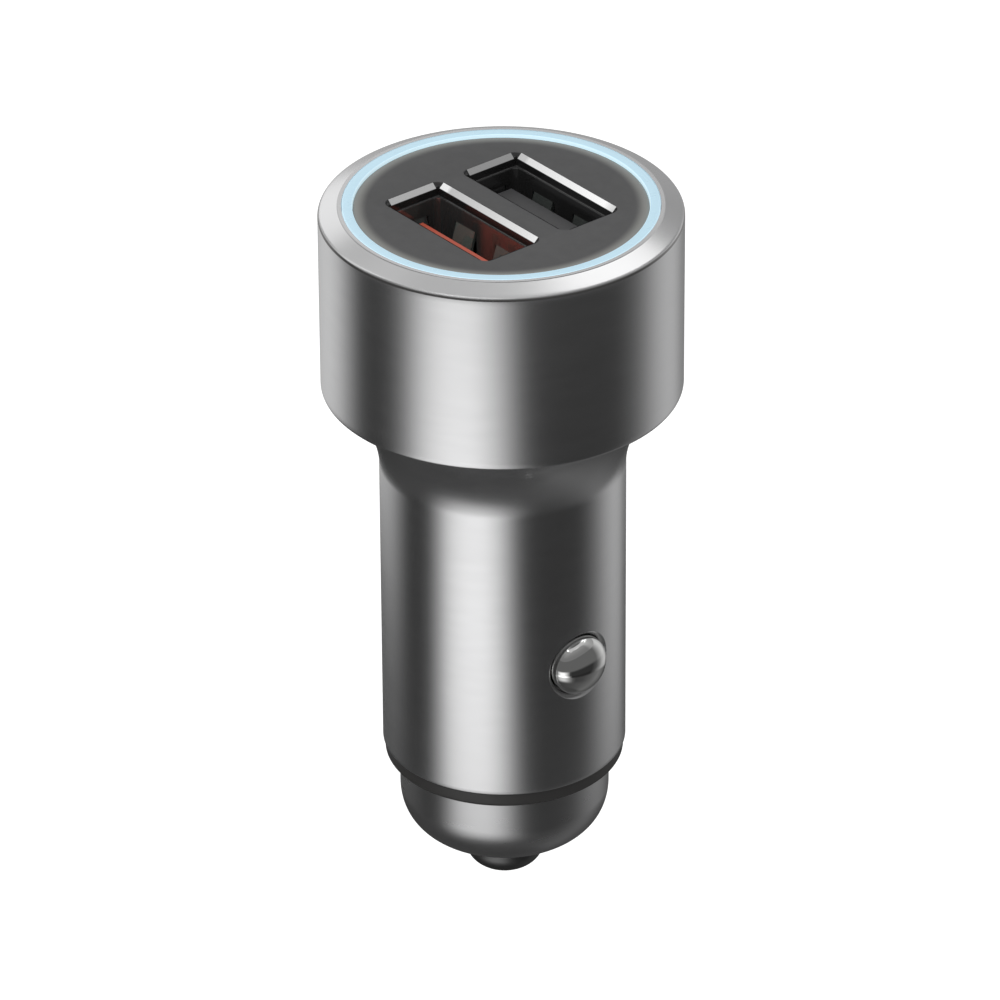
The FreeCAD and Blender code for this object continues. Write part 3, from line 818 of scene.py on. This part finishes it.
# Each spring's piece, node, joint, axis, seat and the share of its length left at the joint's limit
springs = [
    ("right_spring_wound", side_spring_mesh(1), "right_side_spring", "right_contact_press", (1, 0, 0),
     (SIDE_SPRING_SEAT_X * MM, 0, CONTACT_Z * MM), 1 - CONTACT_TRAVEL / SIDE_SPRING_LENGTH),
    ("left_spring_wound", side_spring_mesh(-1), "left_side_spring", "left_contact_press", (1, 0, 0),
     (-SIDE_SPRING_SEAT_X * MM, 0, CONTACT_Z * MM), 1 - CONTACT_TRAVEL / SIDE_SPRING_LENGTH),
    ("tip_spring_wound", tip_spring_mesh, "tip_spring", "tip_press", (0, 0, 1),
     (0, 0, TIP_SPRING_SEAT_Z * MM), 1 - TIP_TRAVEL / TIP_SPRING_LENGTH),
]
for name, maker, node, joint, axis, anchor, keep in springs:
    spring = new_piece(name, maker, "charger", node)
    dress(spring, slot_of[node])
    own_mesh(spring)
bpy.data.objects["nose_turned"].material_slots[0].material = satin_metal(
    "nose_aluminium", (0.67, 0.67, 0.675), 0.28).material


# Camera

forward_back = camera_side * cos(VIEW_ELEVATION) + Vector((0, 0, sin(VIEW_ELEVATION)))
level_up = forward_back.cross(camera_right)
right = camera_right * cos(VIEW_ROLL) - level_up * sin(VIEW_ROLL)
up = level_up * cos(VIEW_ROLL) + camera_right * sin(VIEW_ROLL)
target = Vector((0, 0, VIEW_TARGET_Z)) - camera_right * VIEW_TARGET_LEFT
camera = bpy.data.objects.new("camera", bpy.data.cameras.new("camera"))
camera.data.lens = VIEW_LENS
camera.data.sensor_width = VIEW_SENSOR
camera.data.clip_start = VIEW_NEAR
camera.matrix_world = (Matrix.Translation((target + forward_back * VIEW_DISTANCE) * MM)
                       @ Matrix((right, up, forward_back)).transposed().to_4x4())
bpy.context.scene.collection.objects.link(camera)
bpy.context.scene.camera = camera


# Studio: its lengths are in metres
FLOOR_Z = -0.27
FLOOR_REACH = 6
TENT_RADIUS = 0.30
TENT_LOW = -0.258
TENT_HIGH = 0.10
HOOD_HIGH = 0.50
TENT_SEGMENTS = 128

# The world's strength as light, and the lift to white where the floor and the world are seen
WORLD_LIGHT = 0.62
WORLD_SEEN = 1.0
FLOOR_LIFT = 0.6

# Brightness by the angle round from the camera, positive to its right: of the tent's wall over the
# horizon and where the head, the barrel and the nose are reflected, of the ground and of the hood
OVER_BANDS = [(-180, 0.38), (-165, 0.40), (-150, 0.46), (-130, 0.42), (-105, 0.12), (88, 0.12),
              (102, 0.32), (118, 0.56), (132, 0.60), (148, 0.38), (180, 0.38)]
HEAD_BANDS = [(-180, 0.02), (-172, 0.46), (-150, 0.62), (-135, 0.70), (-122, 0.62), (-98, 0.06),
              (-88, 0.03), (-74, 0.04), (-63, 0.17), (-54, 0.52), (-44, 0.90), (-34, 1.12),
              (-18, 1.15), (-6, 0.74), (4, 0.325), (12, 0.055), (20, 0.03), (76, 0.03), (88, 0.08),
              (98, 0.19), (110, 0.40), (124, 0.52), (136, 0.50), (150, 0.26), (165, 0.20),
              (180, 0.02)]
BARREL_BANDS = [(-180, 0.03), (-160, 0.07), (-120, 0.07), (-96, 0.03), (-84, 0.02), (-73, 0.06),
                (-62, 0.50), (-52, 1.22), (-40, 1.42), (-16, 1.46), (-5, 1.22), (4, 0.72),
                (13, 0.20), (21, 0.02), (74, 0.02), (84, 0.08), (98, 0.24), (110, 0.38),
                (124, 0.44), (136, 0.36), (150, 0.12), (165, 0.06), (180, 0.02)]
NOSE_BANDS = [(-180, 0.03), (-110, 0.06), (-88, 0.05), (-76, 0.08), (-62, 0.30), (-50, 0.53),
              (-38, 0.64), (-20, 0.67), (-8, 0.56), (2, 0.40), (12, 0.23), (24, 0.09), (36, 0.05),
              (60, 0.06), (80, 0.10), (103, 0.17), (120, 0.14), (140, 0.08), (180, 0.02)]
GROUND_BANDS = [(-180, 0.06), (-60, 0.05), (-20, 0.06), (30, 0.07), (60, 0.09), (100, 0.14),
                (140, 0.08), (180, 0.06)]
HOOD_BANDS = [(-180, 0.72), (-166, 0.52), (-150, 0.46), (-125, 0.62), (-107, 1.20), (-98, 0.50),
              (-88, 0.235), (78, 0.235), (88, 0.38), (100, 0.46), (125, 0.42), (150, 0.42),
              (164, 0.46), (180, 0.72)]

# Heights between which one set of the wall's bands passes into the next one up
BARREL_HEIGHTS = (-0.226, -0.195)
HEAD_HEIGHTS = (-0.190, -0.163)
OVER_HEIGHTS = (-0.116, -0.080)

# The ground: its middle's brightness, and the distances between which it passes into its own bands
# and then into the nose's
GROUND_MIDDLE = 0.055
GROUND_INNER = (0.05, 0.10)
GROUND_OUTER = (0.17, 0.27)
HOOD_STRENGTHS = (0.75, 1.25)


def glow(name, strength_maker):
    """A material that only glows; strength_maker sets what its light depends on."""
    material = bpy.data.materials.new(name)
    material.use_nodes = True
    tree = material.node_tree
    tree.nodes.clear()
    emission = tree.nodes.new("ShaderNodeEmission")
    output = tree.nodes.new("ShaderNodeOutputMaterial")
    tree.links.new(emission.outputs["Emission"], output.inputs["Surface"])
    strength_maker(tree, emission)
    return material


def angle_of(tree, place):
    """The share of a turn round from the camera's back."""
    angle = tree.nodes.new("ShaderNodeTexGradient")
    angle.gradient_type = "RADIAL"
    tree.links.new(place, angle.inputs["Vector"])
    return angle.outputs["Fac"]


def banded(tree, bands, angle):
    return grey_ramp(tree, angle, [((degrees + 180) / 360, value) for degrees, value in bands])


def tent_strength(tree, emission):
    place = object_place(tree)
    height, angle = coordinate_of(tree, place, "Z"), angle_of(tree, place)
    wall = banded(tree, NOSE_BANDS, angle)
    for bands, heights in ((BARREL_BANDS, BARREL_HEIGHTS), (HEAD_BANDS, HEAD_HEIGHTS),
                           (OVER_BANDS, OVER_HEIGHTS)):
        wall = mixed(tree, smooth_step(tree, height, *heights), wall, banded(tree, bands, angle))
    tree.links.new(wall, emission.inputs["Color"])


def hood_strength(tree, emission):
    """A grey sweep over the tent, lighter towards its top."""
    place = object_place(tree)
    tree.links.new(banded(tree, HOOD_BANDS, angle_of(tree, place)), emission.inputs["Color"])
    height = coordinate_of(tree, place, "Z")
    strength = smooth_step(tree, height, TENT_HIGH, HOOD_HIGH, *HOOD_STRENGTHS)
    tree.links.new(strength, emission.inputs["Strength"])


def ground_strength(tree, emission):
    """The dark ground under the part, on which the tent's bands run on at its edge."""
    place = object_place(tree)
    angle, distance = angle_of(tree, place), length_of(tree, place)
    ground = mixed(tree, smooth_step(tree, distance, *GROUND_INNER), GROUND_MIDDLE,
                   banded(tree, GROUND_BANDS, angle))
    ground = mixed(tree, smooth_step(tree, distance, *GROUND_OUTER), ground,
                   banded(tree, NOSE_BANDS, angle))
    tree.links.new(ground, emission.inputs["Color"])


def stage_piece(name, mesh_maker, material, seen=True):
    """A piece of the studio; one that isn't seen shows only in reflections."""
    mesh = bpy.data.meshes.new(name)
    shape = bmesh.new()
    mesh_maker(shape)
    shape.to_mesh(mesh)
    shape.free()
    mesh.materials.append(material)
    piece = bpy.data.objects.new(name, mesh)
    bpy.context.scene.collection.objects.link(piece)
    if not seen:
        piece.visible_camera = False
        piece.visible_diffuse = False
        piece.visible_shadow = False
    return piece


def drum(low, high):
    """A maker of a round wall."""
    def make(shape):
        columns = []
        for step in range(TENT_SEGMENTS + 1):
            angle = 2 * pi * step / TENT_SEGMENTS
            columns.append([shape.verts.new((TENT_RADIUS * cos(angle), TENT_RADIUS * sin(angle), z))
                            for z in (low, high)])
        for near, far in zip(columns, columns[1:]):
            shape.faces.new((near[0], far[0], far[1], near[1]))
    return make


def ground_mesh(shape):
    bmesh.ops.create_circle(shape, cap_ends=True, radius=TENT_RADIUS, segments=TENT_SEGMENTS)


tent = stage_piece("tent", drum(TENT_LOW, TENT_HIGH), glow("tent", tent_strength), seen=False)
hood = stage_piece("hood", drum(TENT_HIGH, HOOD_HIGH), glow("hood", hood_strength), seen=False)
ground = stage_piece("ground", ground_mesh, glow("ground", ground_strength), seen=False)
ground.location.z = TENT_LOW
for piece in (tent, hood, ground):
    piece.rotation_euler[2] = VIEW_AZIMUTH - pi / 2


def face_the_part(piece, azimuth, elevation, distance):
    """Stands a piece at that azimuth, counted from the camera, and turns it to face the part."""
    level = camera_side * cos(radians(azimuth)) + camera_right * sin(radians(azimuth))
    direction = level * cos(radians(elevation)) + Vector((0, 0, sin(radians(elevation))))
    turn = direction.to_track_quat("Z", "Y").to_matrix().to_4x4()
    piece.matrix_world = Matrix.Translation(direction * distance) @ turn


def card(name, azimuth, elevation, distance, size, strength):
    """A square card, lit evenly."""
    def even(tree, emission):
        emission.inputs["Strength"].default_value = strength

    def square(shape):
        bmesh.ops.create_grid(shape, x_segments=1, y_segments=1, size=size / 2)

    piece = stage_piece(name, square, glow(name, even), seen=False)
    face_the_part(piece, azimuth, elevation, distance)


card("ceiling_card", azimuth=0, elevation=90, distance=0.30, size=0.34, strength=0.52)
card("back_left_card", azimuth=-157, elevation=24, distance=0.28, size=0.15, strength=1.0)
card("bright_card", azimuth=147, elevation=57.5, distance=0.27, size=0.15, strength=1.3)
card("spot_card", azimuth=112, elevation=50, distance=0.25, size=0.012, strength=6.0)


def lamp(name, azimuth, elevation, distance, size, watts):
    light = bpy.data.lights.new(name, "AREA")
    light.shape = "DISK"
    light.size = size
    light.energy = watts
    piece = bpy.data.objects.new(name, light)
    bpy.context.scene.collection.objects.link(piece)
    face_the_part(piece, azimuth, elevation, distance)


lamp("key", azimuth=-35, elevation=50, distance=0.9, size=0.5, watts=2.2)


def background_share(tree):
    """1 for rays that see the background: from the camera, in reflections and through glass."""
    path = tree.nodes.new("ShaderNodeLightPath")
    total = path.outputs["Is Camera Ray"]
    for kind in ("Is Glossy Ray", "Is Transmission Ray"):
        total = calculated(tree, "MAXIMUM", total, path.outputs[kind])
    return total


def floor_material():
    """Pale paper, lifted to white where it is seen and not where it lights the part."""
    paint = Paint("floor_paper", (0.86, 0.86, 0.86), 0.9)
    paint.vary_roughness(paint.noise(4), 0.85, 0.95)
    paint.shader.inputs["Emission Color"].default_value = (1, 1, 1, 1)
    lift = calculated(paint.tree, "MULTIPLY", background_share(paint.tree), FLOOR_LIFT)
    paint.tree.links.new(lift, paint.shader.inputs["Emission Strength"])
    return paint.material


def floor_mesh(shape):
    bmesh.ops.create_grid(shape, x_segments=1, y_segments=1, size=FLOOR_REACH)
    bmesh.ops.translate(shape, verts=shape.verts, vec=(0, 0, FLOOR_Z))


stage_piece("floor", floor_mesh, floor_material())

world = bpy.data.worlds.new("studio")
bpy.context.scene.world = world
world.use_nodes = True
background = world.node_tree.nodes["Background"]
background.inputs["Color"].default_value = (1, 1, 1, 1)
seen_or_not = world.node_tree.nodes.new("ShaderNodeMapRange")
seen_or_not.inputs["To Min"].default_value = WORLD_LIGHT
seen_or_not.inputs["To Max"].default_value = WORLD_SEEN
world.node_tree.links.new(background_share(world.node_tree), seen_or_not.inputs["Value"])
world.node_tree.links.new(seen_or_not.outputs["Result"], background.inputs["Strength"])

bpy.context.scene.view_settings.view_transform = "Standard"
